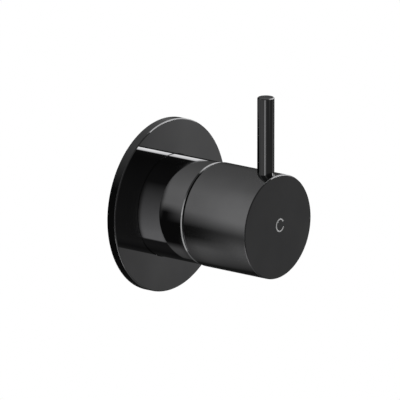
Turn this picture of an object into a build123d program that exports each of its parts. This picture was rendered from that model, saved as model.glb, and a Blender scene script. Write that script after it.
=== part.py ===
from build123d import *
import os
from math import cos, radians, sin

# Concealed stop valve: the trim in front of the wall and the ceramic-disc headwork inside it.
# The origin is the centre of the wall plate's back, on the valve's axis. +Z is up, +Y goes into
# the wall and the handle faces -Y. A distance along the axis is written "out": it is measured
# from the wall towards the room, so a negative one lies in the wall.
# Every value below is in millimetres or degrees.

# Wall plate, its gasket and its ring
plate_diameter = 80.0
plate_thickness = 4.5
plate_web = 1.8
plate_rim_width = 3.5
plate_hub_width = 3.4
plate_hub_relief = 0.4
plate_bore_clearance = 0.15
plate_ring_section = 1.8
gasket_width = 5.0
gasket_clearance = 0.1

# Sleeve and the glide ring in its mouth
sleeve_reach = 30.0
sleeve_tail = 8.0
sleeve_inset = 0.3
sleeve_wall = 2.0
glide_seat_depth = 2.5
glide_seat_step = 0.8
glide_spigot_length = 2.5
glide_spigot_wall = 1.3
glide_end_clearance = 0.2
glide_side_clearance = 0.1

# Handle and its lever pin
handle_diameter = 48.0
handle_length = 36.3
handle_gap = 0.7
handle_skirt_wall = 2.6
handle_head = 15.0
handle_front_wall = 3.0
pin_diameter = 7.8
pin_height = 35.3
pin_setback = 7.2
pin_seat_depth = 3.0
stud_diameter = 4.9
grub_length = 6.0
grub_key = 2.5
grub_key_depth = 2.6
stud_end_gap = 1.5

# Adapter between the spindle and the handle, with its screw
adapter_diameter = 13.9
adapter_length = 26.0
adapter_end_gap = 0.3
adapter_groove_depth = 0.8
adapter_groove_half_width = 1.8
adapter_web = 3.0
spline_engagement = 9.5
screw_diameter = 3.9
screw_length = 10.0
screw_head_diameter = 7.0
screw_head_height = 2.6
screw_head_clearance = 0.5
screw_key = 3.0
screw_key_depth = 1.6
screw_hole_spare = 2.0

# Headwork body
thread_diameter = 20.955
thread_length = 8.0
thread_chamfer = 0.9
flange_depth = 1.0
flange_height = 6.0
wrench_size = 27.0
body_ring_section = 1.9
body_ring_groove_depth = 1.6
neck_diameter = 22.0
neck_spare = 1.5
guide_length = 5.0
guide_wall = 3.3
cage_wall = 1.6
window_height = 2.8
window_angle = 100.0
window_margin = 0.4

# Carrier that ties the sleeve to the headwork, and its nut
carrier_thickness = 5.0
carrier_web = 3.0
carrier_hub_width = 3.0
carrier_rim_width = 2.6
carrier_hole_diameter = 4.5
carrier_hole_count = 6
lock_nut_height = 4.0

# Ceramic discs and seat seal
disc_diameter = 14.0
disc_thickness = 2.8
disc_clearance = 0.2
disc_gap = 0.02
port_inner_radius = 1.8
port_outer_radius = 5.4
port_angle = 80.0
key_width = 3.0
key_clearance = 0.1
key_inset = 0.5
seat_seal_thickness = 2.2
seat_seal_proud = 0.5

# Spindle, its rings, washer, stop and clip
spindle_diameter = 9.4
spindle_clearance = 0.05
spindle_ring_section = 1.5
spindle_ring_spacing = 6.0
spindle_ring_setback = 4.0
collar_height = 3.0
collar_clearance = 0.4
drive_width = 4.0
drive_depth = 1.2
drive_clearance = 0.1
washer_thickness = 1.0
flat_depth = 0.7
spline_step = 0.7
spline_length = 11.0
spline_tooth_depth = 0.45
spline_teeth = 20
stop_ring_height = 3.0
stop_ring_clearance = 0.1
stop_tab_angle = 40.0
stop_play_angle = 1.0
turn_angle = 90.0
crown_width = 2.0
clip_thickness = 1.0
clip_groove_depth = 0.6
clip_width = 1.5
clip_opening_angle = 80.0

# Fits and edges shared by several pieces
ring_gap = 0.02
groove_side_gap = 0.15
thread_gap = 0.05
seat_gap = 0.03
edge_chamfer = 0.4
small_chamfer = 0.25

# Radii worked out from the sizes above
plate_radius = plate_diameter / 2
handle_radius = handle_diameter / 2
sleeve_radius = handle_radius - sleeve_inset
sleeve_bore = sleeve_radius - sleeve_wall
plate_bore = sleeve_radius + plate_bore_clearance
plate_hub_radius = plate_bore + plate_hub_width
skirt_bore = handle_radius - handle_skirt_wall
glide_seat_radius = sleeve_bore + glide_seat_step
pin_radius = pin_diameter / 2
stud_radius = stud_diameter / 2
adapter_radius = adapter_diameter / 2
thread_radius = thread_diameter / 2
neck_radius = neck_diameter / 2
spindle_radius = spindle_diameter / 2
spindle_bore = spindle_radius + spindle_clearance
guide_radius = spindle_radius + guide_wall
crown_bore = guide_radius - crown_width
spline_radius = spindle_radius - spline_step
disc_radius = disc_diameter / 2
cage_bore = disc_radius + disc_clearance
cage_radius = cage_bore + cage_wall
collar_radius = cage_bore - collar_clearance
clip_groove_radius = spline_radius - clip_groove_depth
screw_radius = screw_diameter / 2
screw_head_radius = screw_head_diameter / 2

# Stations along the axis, from the wall outwards
handle_back = sleeve_reach + handle_gap
handle_front = handle_back + handle_length
handle_cavity_end = handle_front - handle_head
handle_bore_end = handle_front - handle_front_wall
pin_out = handle_front - pin_setback
adapter_front = handle_bore_end - adapter_end_gap
adapter_back = adapter_front - adapter_length
spindle_front = adapter_back + spline_engagement
web_back = spindle_front + adapter_end_gap
web_front = web_back + adapter_web
spline_back = spindle_front - spline_length

# Stations along the axis, from the flange into the wall and out to the clip
flange_back = -flange_depth
thread_front = flange_back - body_ring_section - 2 * ring_gap
thread_back = thread_front - thread_length
window_front = thread_back - window_margin
moving_front = window_front - window_height
moving_back = moving_front - disc_thickness
fixed_front = moving_back - disc_gap
fixed_back = fixed_front - disc_thickness
seat_back = fixed_back - seat_seal_thickness
cage_back = seat_back + seat_seal_proud
collar_front = window_front + collar_height
chamber_end = collar_front + washer_thickness
flange_front = flange_back + flange_height
carrier_front = flange_front + carrier_thickness
nut_front = carrier_front + lock_nut_height
neck_front = nut_front + neck_spare
guide_front = neck_front + guide_length
stop_back = guide_front + stop_ring_clearance
stop_front = stop_back + stop_ring_height
clip_back = stop_front + stop_ring_clearance
clip_front = clip_back + clip_thickness
flat_front = clip_front + clip_thickness

# Distances from the axis along the lever pin
pin_seat = handle_radius - pin_seat_depth
pin_top = handle_radius + pin_height
grub_tip = adapter_radius - adapter_groove_depth + thread_gap
grub_top = grub_tip + grub_length
stud_end = grub_top + stud_end_gap

front = Plane.XZ
axis = Axis((0, 0, 0), (0, -1, 0))
pin_axis = Axis((0, -pin_out, 0), (0, 0, 1))


def half_section(outline):
    """Face through the axis, from (radius, out) points."""
    return make_face(Polyline(*[(radius, -out) for radius, out in outline], close=True))


def turned(*outline):
    """Solid turned about the valve's axis from its half section."""
    return revolve(half_section(outline), axis)


def tube(inner, outer, back, end):
    """Plain ring about the valve's axis."""
    return turned((inner, back), (outer, back), (outer, end), (inner, end))


def rod(radius, back, end):
    """Plain round bar on the valve's axis."""
    return extrude(front.offset(back) * Circle(radius), end - back)


def sector(inner, outer, back, end, middle, angle):
    """Part of a ring: middle and angle in degrees, from +X towards +Z."""
    face = half_section(((inner, back), (outer, back), (outer, end), (inner, end)))
    return revolve(face, axis, angle).rotate(axis, middle - angle / 2)


def round_ring(inner, section, middle):
    """Ring of round section, such as an O-ring, at a place along the axis."""
    return front.offset(middle) * Torus(inner + section / 2, section / 2)


def hexagon(across, back, height):
    """Six-sided bar on the valve's axis, flats up and down."""
    flats = RegularPolygon(across / 2, 6, major_radius=False, rotation=30)
    return extrude(front.offset(back) * flats, height)


def chamfered_hexagon(across, back, height):
    """Hexagon with its corners turned off at both ends, as on a nut."""
    corner = across / 2 / cos(radians(30))
    land = across / 2
    drop = (corner - land) * sin(radians(30))
    outline = (
        (0, back),
        (land, back),
        (corner, back + drop),
        (corner, back + height - drop),
        (land, back + height),
        (0, back + height),
    )
    return hexagon(across, back, height) & turned(*outline)


def serrations(outer, depth):
    """Outline of a splined shaft: a ring of V-shaped teeth."""
    step = 180 / spline_teeth
    radii = [outer if point % 2 == 0 else outer - depth for point in range(2 * spline_teeth)]
    points = [
        (radius * cos(radians(step * point)), radius * sin(radians(step * point)))
        for point, radius in enumerate(radii)
    ]
    return make_face(Polyline(*points, close=True))


def upright(*outline):
    """Solid turned about the lever pin's axis from (radius, height) points."""
    points = [(radius, -pin_out, height) for radius, height in outline]
    return revolve(make_face(Polyline(*points, close=True)), pin_axis)


def make_wall_plate():
    """Cover disc: a rim that bears on the wall, a thin front and a hub round the sleeve."""
    recess_radius = plate_radius - plate_rim_width
    recess_end = plate_thickness - plate_web
    disc = turned(
        (plate_bore, plate_hub_relief),
        (plate_hub_radius, plate_hub_relief),
        (plate_hub_radius, recess_end),
        (recess_radius, recess_end),
        (recess_radius, 0),
        (plate_radius, 0),
        (plate_radius, plate_thickness - edge_chamfer),
        (plate_radius - edge_chamfer, plate_thickness),
        (plate_bore, plate_thickness),
    )
    groove_radius = sleeve_radius + plate_ring_section + 2 * ring_gap
    half_groove = plate_ring_section / 2 + groove_side_gap
    middle = plate_ring_out()
    return disc - tube(sleeve_radius, groove_radius, middle - half_groove, middle + half_groove)


def plate_ring_out():
    """Place of the plate's ring: the middle of the hub."""
    return (plate_hub_relief + plate_thickness) / 2


def make_wall_gasket():
    """Foam ring in the plate's recess, inside the rim and flush with it."""
    outer = plate_radius - plate_rim_width - gasket_clearance
    return tube(outer - gasket_width, outer, 0, plate_thickness - plate_web)


def make_plate_o_ring():
    """Ring in the hub that grips the sleeve."""
    return round_ring(sleeve_radius + ring_gap, plate_ring_section, plate_ring_out())


def make_sleeve():
    """Tube from the wall to the handle, with a seat for the glide ring in its mouth."""
    seat_back_out = sleeve_reach - glide_seat_depth
    return turned(
        (sleeve_bore + small_chamfer, -sleeve_tail),
        (sleeve_radius - edge_chamfer, -sleeve_tail),
        (sleeve_radius, edge_chamfer - sleeve_tail),
        (sleeve_radius, sleeve_reach - edge_chamfer),
        (sleeve_radius - edge_chamfer, sleeve_reach),
        (glide_seat_radius, sleeve_reach),
        (glide_seat_radius, seat_back_out),
        (sleeve_bore, seat_back_out),
        (sleeve_bore, small_chamfer - sleeve_tail),
    )


def make_glide_ring():
    """Plastic ring in the sleeve's mouth that guides the handle's skirt."""
    back = sleeve_reach - glide_seat_depth
    face = handle_back - glide_end_clearance
    spigot = skirt_bore - glide_side_clearance
    inner = spigot - glide_spigot_wall
    return turned(
        (inner, back),
        (glide_seat_radius - seat_gap, back),
        (glide_seat_radius - seat_gap, face),
        (spigot, face),
        (spigot, face + glide_spigot_length - small_chamfer),
        (spigot - small_chamfer, face + glide_spigot_length),
        (inner, face + glide_spigot_length),
    )


def make_handle():
    """Knob turned from bar: a skirt over the glide ring and a head that takes adapter and pin."""
    adapter_bore = adapter_radius + seat_gap
    body = turned(
        (skirt_bore + small_chamfer, handle_back),
        (handle_radius - edge_chamfer, handle_back),
        (handle_radius, handle_back + edge_chamfer),
        (handle_radius, handle_front - edge_chamfer),
        (handle_radius - edge_chamfer, handle_front),
        (0, handle_front),
        (0, handle_bore_end),
        (adapter_bore, handle_bore_end),
        (adapter_bore, handle_cavity_end + small_chamfer),
        (adapter_bore + small_chamfer, handle_cavity_end),
        (skirt_bore, handle_cavity_end),
        (skirt_bore, handle_back + small_chamfer),
    )
    pin_hole = upright(
        (0, 0),
        (stud_radius + thread_gap, 0),
        (stud_radius + thread_gap, pin_seat),
        (pin_radius + seat_gap, pin_seat),
        (pin_radius + seat_gap, handle_radius + pin_seat_depth),
        (0, handle_radius + pin_seat_depth),
    )
    return body - pin_hole


def make_lever_pin():
    """Round lever with a threaded stud below its seat."""
    return upright(
        (0, stud_end),
        (stud_radius - small_chamfer, stud_end),
        (stud_radius, stud_end + small_chamfer),
        (stud_radius, pin_seat),
        (pin_radius, pin_seat),
        (pin_radius, pin_top - edge_chamfer),
        (pin_radius - edge_chamfer, pin_top),
        (0, pin_top),
    )


def make_grub_screw():
    """Cone-point screw under the lever pin that locks the handle to the adapter."""
    tip_radius = adapter_groove_half_width / 2 - thread_gap
    blank = upright(
        (0, grub_tip),
        (tip_radius, grub_tip),
        (stud_radius, grub_tip + stud_radius - tip_radius),
        (stud_radius, grub_top - small_chamfer),
        (stud_radius - small_chamfer, grub_top),
        (0, grub_top),
    )
    mouth = Plane((0, -pin_out, grub_top))
    key = extrude(mouth * RegularPolygon(grub_key / 2, 6, major_radius=False), -grub_key_depth)
    return blank - key


def make_spline_adapter():
    """Bush with a serrated socket for the spindle and a groove for the grub screw."""
    blank = turned(
        (0, adapter_back),
        (adapter_radius - edge_chamfer, adapter_back),
        (adapter_radius, adapter_back + edge_chamfer),
        (adapter_radius, pin_out - adapter_groove_half_width),
        (adapter_radius - adapter_groove_depth, pin_out - adapter_groove_half_width / 2),
        (adapter_radius - adapter_groove_depth, pin_out + adapter_groove_half_width / 2),
        (adapter_radius, pin_out + adapter_groove_half_width),
        (adapter_radius, adapter_front - edge_chamfer),
        (adapter_radius - edge_chamfer, adapter_front),
        (0, adapter_front),
    )
    teeth = serrations(spline_radius + seat_gap, spline_tooth_depth)
    socket = extrude(front.offset(adapter_back) * teeth, web_back - adapter_back)
    screw_hole = rod(screw_radius + spindle_clearance, web_back, web_front)
    head_well = rod(screw_head_radius + screw_head_clearance, web_front, adapter_front)
    return blank - socket - screw_hole - head_well


def make_adapter_screw():
    """Cheese-head screw that holds the adapter on the spindle's end."""
    head_front = web_front + screw_head_height
    tip = web_front - screw_length
    blank = turned(
        (0, tip),
        (screw_radius - small_chamfer, tip),
        (screw_radius, tip + small_chamfer),
        (screw_radius, web_front),
        (screw_head_radius, web_front),
        (screw_head_radius, head_front - small_chamfer),
        (screw_head_radius - small_chamfer, head_front),
        (0, head_front),
    )
    return blank - hexagon(screw_key, head_front - screw_key_depth, screw_key_depth)


def make_headwork_body():
    """Brass body: disc cage, pipe thread, hexagon, neck thread, spindle guide and stop crown."""
    groove_radius = thread_radius - body_ring_groove_depth
    shell = turned(
        (spindle_bore, chamber_end),
        (cage_bore, chamber_end),
        (cage_bore, cage_back),
        (cage_radius, cage_back),
        (cage_radius, thread_back),
        (thread_radius - thread_chamfer, thread_back),
        (thread_radius, thread_back + thread_chamfer),
        (thread_radius, thread_front),
        (groove_radius, thread_front),
        (groove_radius, flange_back),
        (neck_radius, flange_back),
        (neck_radius, neck_front - thread_chamfer),
        (neck_radius - thread_chamfer, neck_front),
        (guide_radius, neck_front),
        (guide_radius, guide_front),
        (spindle_bore, guide_front),
    )
    nut = chamfered_hexagon(wrench_size, flange_back, flange_height)
    nut -= rod(spindle_bore, flange_back, flange_front)
    crown_angle = 360 - turn_angle - stop_tab_angle - 2 * stop_play_angle
    crown_middle = stop_tab_middle() + turn_angle / 2 + 180
    crown = sector(crown_bore, guide_radius, guide_front, stop_front, crown_middle, crown_angle)
    body = shell + nut + crown
    for side in (90, 270):
        body -= sector(crown_bore, thread_radius, moving_front, window_front, side, window_angle)
    slot_width = key_width + 2 * key_clearance
    for side in (1, -1):
        slot = Pos(side * cage_radius, 0) * Rectangle(4 * cage_wall, slot_width)
        body -= extrude(front.offset(cage_back) * slot, fixed_front - cage_back)
    return body


def stop_tab_middle():
    """Angle of the stop tab at rest, with the lever pin upright and the valve shut."""
    return 90 - turn_angle / 2


def make_body_o_ring():
    """Ring at the root of the pipe thread, under the hexagon."""
    inner = thread_radius - body_ring_groove_depth + ring_gap
    return round_ring(inner, body_ring_section, (flange_back + thread_front) / 2)


def make_sleeve_carrier():
    """Ring screwed on the neck that the sleeve is screwed on, with holes for a pin wrench."""
    inner = neck_radius + thread_gap
    outer = sleeve_bore - thread_gap
    hub = neck_radius + carrier_hub_width
    rim = outer - carrier_rim_width
    inset = (carrier_thickness - carrier_web) / 2
    blank = turned(
        (inner, flange_front),
        (hub, flange_front),
        (hub, flange_front + inset),
        (rim, flange_front + inset),
        (rim, flange_front),
        (outer, flange_front),
        (outer, carrier_front),
        (rim, carrier_front),
        (rim, carrier_front - inset),
        (hub, carrier_front - inset),
        (hub, carrier_front),
        (inner, carrier_front),
    )
    places = PolarLocations((hub + rim) / 2, carrier_hole_count)
    holes = Sketch() + places * Circle(carrier_hole_diameter / 2)
    return blank - extrude(front.offset(flange_front) * holes, carrier_thickness)


def make_lock_nut():
    """Thin nut that locks the carrier against the hexagon."""
    nut = chamfered_hexagon(wrench_size, carrier_front, lock_nut_height)
    return nut - rod(neck_radius + thread_gap, carrier_front, nut_front)


def ports(back, height, middle):
    """Two opposite openings of a ceramic disc, like a bow tie."""
    end = back + height
    first = sector(port_inner_radius, port_outer_radius, back, end, middle, port_angle)
    second = sector(port_inner_radius, port_outer_radius, back, end, middle + 180, port_angle)
    return first + second


def make_fixed_disc():
    """Lower ceramic disc, keyed to the cage by two ears."""
    disc = rod(disc_radius, fixed_back, fixed_front)
    ears = Rectangle(2 * (cage_radius - key_inset), key_width)
    disc += extrude(front.offset(fixed_back) * ears, disc_thickness)
    return disc - ports(fixed_back, disc_thickness, 0)


def make_moving_disc():
    """Upper ceramic disc, a quarter turn from the lower one when the valve is shut."""
    disc = rod(disc_radius, moving_back, moving_front) - ports(moving_back, disc_thickness, 90)
    slot = Rectangle(2 * disc_radius, drive_width + 2 * drive_clearance)
    depth = drive_depth + drive_clearance
    return disc - extrude(front.offset(moving_front - depth) * slot, depth)


def make_seat_seal():
    """Rubber ring between the fixed disc and the seat in the wall."""
    lip = seat_seal_proud / 2
    return turned(
        (port_outer_radius, fixed_back),
        (port_outer_radius, seat_back + lip),
        (port_outer_radius + lip, seat_back),
        (disc_radius - lip, seat_back),
        (disc_radius, seat_back + lip),
        (disc_radius, fixed_back),
    )


def spindle_ring_places():
    """Places of the two rings on the spindle, inside the guide."""
    forward = guide_front - spindle_ring_setback
    return forward, forward - spindle_ring_spacing


def make_spindle():
    """Spindle: drive tongue, collar, two ring grooves, flats for the stop ring and a spline."""
    ring_seat = spindle_bore - spindle_ring_section - 2 * ring_gap
    half_groove = spindle_ring_section / 2 + groove_side_gap
    bar = turned(
        (0, window_front),
        (collar_radius, window_front),
        (collar_radius, collar_front),
        (spindle_radius, collar_front),
        (spindle_radius, flat_front),
        (spline_radius, flat_front),
        (spline_radius, spline_back),
        (0, spline_back),
    )
    for place in spindle_ring_places():
        bar -= tube(ring_seat, spindle_bore, place - half_groove, place + half_groove)
    bar -= tube(clip_groove_radius, spindle_bore, clip_back, clip_front)
    for side in (1, -1):
        square = Rectangle(spindle_diameter, spindle_diameter)
        flat = Pos(side * (spindle_diameter - flat_depth), 0) * square
        bar -= extrude(front.offset(guide_front) * flat, flat_front - guide_front)
    teeth = serrations(spline_radius, spline_tooth_depth)
    bar += extrude(front.offset(spline_back) * teeth, spindle_front - spline_back)
    tongue_back = moving_front - drive_depth
    tongue = Rectangle(2 * collar_radius, drive_width) & Circle(collar_radius)
    bar += extrude(front.offset(tongue_back) * tongue, window_front - tongue_back)
    hole_back = web_front - screw_length - screw_hole_spare
    return bar - rod(screw_radius + thread_gap, hole_back, spindle_front)


def make_spindle_o_ring(place):
    """Ring that seals the spindle in the guide."""
    inner = spindle_bore - spindle_ring_section - ring_gap
    return round_ring(inner, spindle_ring_section, place)


def make_thrust_washer():
    """Slippery washer between the spindle's collar and the end of its chamber."""
    return tube(spindle_radius + spindle_clearance, collar_radius, collar_front, chamber_end - ring_gap)


def make_stop_ring():
    """Ring on the spindle's flats whose tab meets the crown after a quarter turn."""
    hub = rod(crown_bore - stop_ring_clearance, stop_back, stop_front)
    tab = sector(spindle_radius, guide_radius, stop_back, stop_front, stop_tab_middle(), stop_tab_angle)
    across = spindle_diameter - 2 * flat_depth + 2 * spindle_clearance
    hole = Circle(spindle_bore) & Rectangle(across, spindle_diameter * 2)
    return hub + tab - extrude(front.offset(stop_back) * hole, stop_ring_height)


def make_retaining_clip():
    """Spring clip in the spindle's groove, in front of the stop ring."""
    inner = clip_groove_radius + ring_gap
    outer = inner + clip_width
    arc = 360 - clip_opening_angle
    return sector(inner, outer, clip_back + ring_gap, clip_front - ring_gap, 90, arc)


def make_pieces():
    """Every piece of the valve, by its node's name."""
    ring_front, ring_rear = spindle_ring_places()
    return {
        "wall_plate": make_wall_plate(),
        "wall_gasket": make_wall_gasket(),
        "plate_o_ring": make_plate_o_ring(),
        "sleeve": make_sleeve(),
        "glide_ring": make_glide_ring(),
        "sleeve_carrier": make_sleeve_carrier(),
        "lock_nut": make_lock_nut(),
        "headwork_body": make_headwork_body(),
        "body_o_ring": make_body_o_ring(),
        "seat_seal": make_seat_seal(),
        "fixed_disc": make_fixed_disc(),
        "moving_disc": make_moving_disc(),
        "spindle": make_spindle(),
        "spindle_o_ring_front": make_spindle_o_ring(ring_front),
        "spindle_o_ring_rear": make_spindle_o_ring(ring_rear),
        "thrust_washer": make_thrust_washer(),
        "stop_ring": make_stop_ring(),
        "retaining_clip": make_retaining_clip(),
        "spline_adapter": make_spline_adapter(),
        "adapter_screw": make_adapter_screw(),
        "handle": make_handle(),
        "grub_screw": make_grub_screw(),
        "lever_pin": make_lever_pin(),
    }


os.makedirs("parts", exist_ok=True)
for node, shape in make_pieces().items():
    export_step(shape, f"parts/{node}.step")
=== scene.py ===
import math
from typing import NamedTuple

import bpy
import numpy as np
from bpy.props import FloatProperty, FloatVectorProperty, PointerProperty
from mathutils import Matrix, Vector


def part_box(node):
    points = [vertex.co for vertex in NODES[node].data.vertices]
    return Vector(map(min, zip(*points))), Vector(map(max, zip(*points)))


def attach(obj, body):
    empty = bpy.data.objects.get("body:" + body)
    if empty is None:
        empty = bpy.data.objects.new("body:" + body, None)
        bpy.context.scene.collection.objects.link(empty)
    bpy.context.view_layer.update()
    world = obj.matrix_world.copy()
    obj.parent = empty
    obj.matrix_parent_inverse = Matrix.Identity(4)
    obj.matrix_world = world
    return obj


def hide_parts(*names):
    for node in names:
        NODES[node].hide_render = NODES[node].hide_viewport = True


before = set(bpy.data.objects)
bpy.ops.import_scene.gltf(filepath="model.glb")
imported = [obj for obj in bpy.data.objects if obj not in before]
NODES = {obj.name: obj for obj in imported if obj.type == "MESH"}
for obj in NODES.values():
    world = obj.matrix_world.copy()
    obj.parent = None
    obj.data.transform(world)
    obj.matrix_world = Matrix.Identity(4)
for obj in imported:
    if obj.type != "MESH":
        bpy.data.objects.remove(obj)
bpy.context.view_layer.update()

bl_info = {
    "name": "Concealed stop valve",
    "version": (1, 0, 0),
    "blender": (4, 5, 0),
    "location": "View3D > Sidebar > Stop valve",
    "description": "Dresses a concealed stop valve: black chrome trim and ceramic-disc headwork",
    "category": "Object",
}

MM = 0.001
SAME_PLACE = 1e-8
TURN_COLUMNS = 256


def out_reach(node):
    """How far a node reaches towards the room, in metres from the wall."""
    return -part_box(node)[0].y


def half_width(node):
    """Half of a node's height, which is the outer radius of a turned piece."""
    low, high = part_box(node)
    return (high.z - low.z) / 2


def quantity(name, description, default, **kind):
    """A number, as a property."""
    return FloatProperty(name=name, description=description, default=default, **kind)


def length(name, description, default):
    """A length in metres, as a property."""
    return quantity(name, description, default, min=0, precision=6, unit="LENGTH")


def colour(name, description, default):
    """A colour, as a property."""
    kind = {"size": 4, "min": 0, "max": 1, "subtype": "COLOR"}
    return FloatVectorProperty(name=name, description=description, default=(*default, 1.0), **kind)


class TrimSizes(bpy.types.PropertyGroup):
    """Sizes of the trim in front of the wall."""

    plate_radius: length("Plate radius", "Outer radius of the wall plate", half_width("wall_plate"))
    plate_thickness: length("Plate thickness", "From the wall to the front", out_reach("wall_plate"))
    plate_bore: length("Plate bore", "Radius of the hole for the sleeve", 23.85 * MM)
    plate_web: length("Plate web", "Thickness of the front behind the recess", 1.8 * MM)
    rim_width: length("Rim width", "Width of the rim that bears on the wall", 3.5 * MM)
    hub_width: length("Hub width", "Width of the hub round the sleeve", 3.4 * MM)
    sleeve_radius: length("Sleeve radius", "Outer radius of the sleeve", half_width("sleeve"))
    sleeve_reach: length("Sleeve reach", "From the wall to the sleeve's mouth", out_reach("sleeve"))
    sleeve_tail: length("Sleeve tail", "Part of the sleeve behind the wall's face", 8.0 * MM)
    sleeve_bore: length("Sleeve bore", "Inner radius of the sleeve", 21.7 * MM)
    handle_radius: length("Handle radius", "Outer radius of the handle", 24.0 * MM)
    handle_back: length("Handle back", "From the wall to the handle's back", 30.7 * MM)
    handle_front: length("Handle front", "From the wall to the handle's face", out_reach("handle"))
    skirt_bore: length("Skirt bore", "Inner radius of the handle's skirt", 21.4 * MM)
    pin_radius: length("Pin radius", "Radius of the lever pin", 3.9 * MM)
    pin_out: length("Pin place", "From the wall to the lever pin's axis", 59.8 * MM)
    pin_seat: length("Pin seat", "Height of the seat of the lever pin", 21.0 * MM)
    pin_top: length("Pin top", "Height of the lever pin's end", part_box("lever_pin")[1].z)
    edge_lead: length("Edge lead", "Bevel of the front edges, along the axis", 0.36 * MM)
    edge_depth: length("Edge depth", "Bevel of the front edges, across the axis", 0.425 * MM)
    back_lead: length("Back lead", "Bevel of the handle's back edge, along the axis", 0.75 * MM)
    bevel: length("Bevel", "Width of the bevel on the other edges", 0.4 * MM)
    inner_bevel: length("Inner bevel", "Width of the bevel on edges inside", 0.25 * MM)
    rounding: length("Rounding", "Radius where a bevel meets a face", 0.16 * MM)
    fine_rounding: length("Fine rounding", "Radius of edges that look sharp", 0.06 * MM)
    mark_relief: length("Mark relief", "How far the cold mark stands proud", 0.015 * MM)


class HeadworkSizes(bpy.types.PropertyGroup):
    """Sizes of the headwork body behind the trim."""

    thread_radius: length("Thread radius", "Outer radius of the pipe thread", 10.4775 * MM)
    thread_pitch: length("Thread pitch", "Pitch of the pipe thread", 1.814 * MM)
    thread_depth: length("Thread depth", "Depth of the pipe thread", 1.162 * MM)
    neck_radius: length("Neck radius", "Outer radius of the neck's thread", 11.0 * MM)
    neck_pitch: length("Neck pitch", "Pitch of the neck's thread", 1.5 * MM)
    neck_depth: length("Neck depth", "Depth of the neck's thread", 0.85 * MM)
    wrench_size: length("Wrench size", "Hexagon across its flats", 27.0 * MM)
    cage_radius: length("Cage radius", "Outer radius of the disc cage", 8.8 * MM)
    cage_bore: length("Cage bore", "Inner radius of the disc cage", 7.2 * MM)
    spindle_bore: length("Spindle bore", "Inner radius of the spindle's guide", 4.75 * MM)


class Finishes(bpy.types.PropertyGroup):
    """Colours of the finishes."""

    chrome: colour("Black chrome", "Polished plate, sleeve and lever pin", (0.130, 0.130, 0.132))
    satin: colour("Satin black chrome", "Handle", (0.130, 0.130, 0.132))
    mark: colour("Cold mark", "Mark on the handle's face", (0.42, 0.42, 0.42))
    brass: colour("Brass", "Turned brass", (0.74, 0.53, 0.24))
    brass_dark: colour("Dull brass", "Brass in its duller streaks", (0.58, 0.39, 0.16))
    rubber: colour("Rubber", "Seals and rings", (0.022, 0.022, 0.023))
    foam: colour("Foam", "Closed-cell gasket", (0.055, 0.055, 0.057))
    ceramic: colour("Ceramic", "Lapped discs", (0.85, 0.83, 0.78))
    # Black plastic made darker than its own tone, as painted shade in the gap between the sleeve and the
    # handle.
    black_plastic: colour("Black plastic", "Glide ring", (0.006, 0.006, 0.006))
    white_plastic: colour("White plastic", "Washer and stop ring", (0.80, 0.79, 0.76))
    steel: colour("Steel", "Screws and clip", (0.62, 0.61, 0.60))


class Studio(bpy.types.PropertyGroup):
    """Light, floor and camera."""

    tent_radius: length("Tent radius", "Radius of the light tent that the metal mirrors", 0.5)
    tent_level: quantity("Tent level", "Glow of the tent between its panels", 0.12, min=0)
    floor_drop: length("Floor drop", "From the valve's axis down to the floor", 0.6)
    floor_radius: length("Floor radius", "Radius of the floor", 1.2)
    lamp_distance: length("Lamp distance", "From the valve to the lamps", 1.3)
    distance: length("Camera distance", "From the valve to the camera", 5.0)
    azimuth: quantity("Azimuth", "Camera's place round the valve", math.radians(-50.97), subtype="ANGLE")
    elevation: quantity("Elevation", "Camera above the horizon", math.radians(14.64), subtype="ANGLE")
    scale: quantity("Scale", "Pixels for a millimetre at the valve", 2.1973, min=0.1)
    width: quantity("Width", "Pixels across the picture", 400, min=1)
    aim_right: length("Aim right", "Middle of the picture, right of the origin", 16.775 * MM)
    aim_up: length("Aim up", "Middle of the picture, above the origin", 1.543 * MM)
    fill: quantity("Fill", "Level of the white surround", 0.55, min=0)
    key_power: quantity("Key power", "Power of the key lamp", 9.0, min=0, unit="POWER")


# Surfaces


def rounded(corners, closed, steps=7):
    """Profile with its corners rounded.

    Rows of corners are along, radius and rounding. At each corner the direction of travel turns by
    an angle, and the corner is replaced by the arc of that rounding that touches both of its sides.
    The arc's points are its centre plus the rounding times a unit spoke that swings through the
    angle. The normal is the direction of travel turned a quarter turn to the left. Returns points
    and normals.
    """
    corners = np.asarray(corners, float)
    place, radius = corners[:, :2], corners[:, 2]
    ahead = np.roll(place, -1, 0) - place
    ahead /= np.linalg.norm(ahead, axis=1, keepdims=True)
    behind = np.roll(ahead, 1, 0)
    if not closed:
        behind[0] = ahead[0]
        ahead[-1] = behind[-1]
    turn = np.arctan2(
        behind[:, 0] * ahead[:, 1] - behind[:, 1] * ahead[:, 0], (behind * ahead).sum(1)
    )
    angle = turn[:, None] * np.linspace(0, 1, steps)
    travel = np.stack(
        (
            behind[:, :1] * np.cos(angle) - behind[:, 1:] * np.sin(angle),
            behind[:, :1] * np.sin(angle) + behind[:, 1:] * np.cos(angle),
        ),
        axis=2,
    )
    normal = np.stack((-travel[..., 1], travel[..., 0]), axis=2)
    side = np.where(turn < 0, radius, -radius)[:, None, None]
    reach = radius * np.tan(np.abs(turn) / 2)
    start = place - behind * reach[:, None]
    centre = start[:, None] - side * normal[:, :1]
    points = (centre + side * normal).reshape(-1, 2)
    normal = normal.reshape(-1, 2)
    step = np.linalg.norm(np.diff(points, axis=0), axis=1)
    keep = np.r_[True, step > SAME_PLACE]
    return points[keep], normal[keep]


def on_valve_axis(along, across, up):
    """Points about the valve's axis: across is X, up is Z and along goes out to the room."""
    return np.stack((across, -along, up), axis=-1)


def on_pin_axis(along, across, up):
    """Points about the lever pin's axis: across is X, up goes into the wall and along is height."""
    out = bpy.context.scene.valve_trim.pin_out
    return np.stack((across, up - out, along), axis=-1)


def on_upright_axis(along, across, up):
    """Points about the vertical: across is X, up goes into the wall and along is height."""
    return np.stack((across, up, along), axis=-1)


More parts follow.
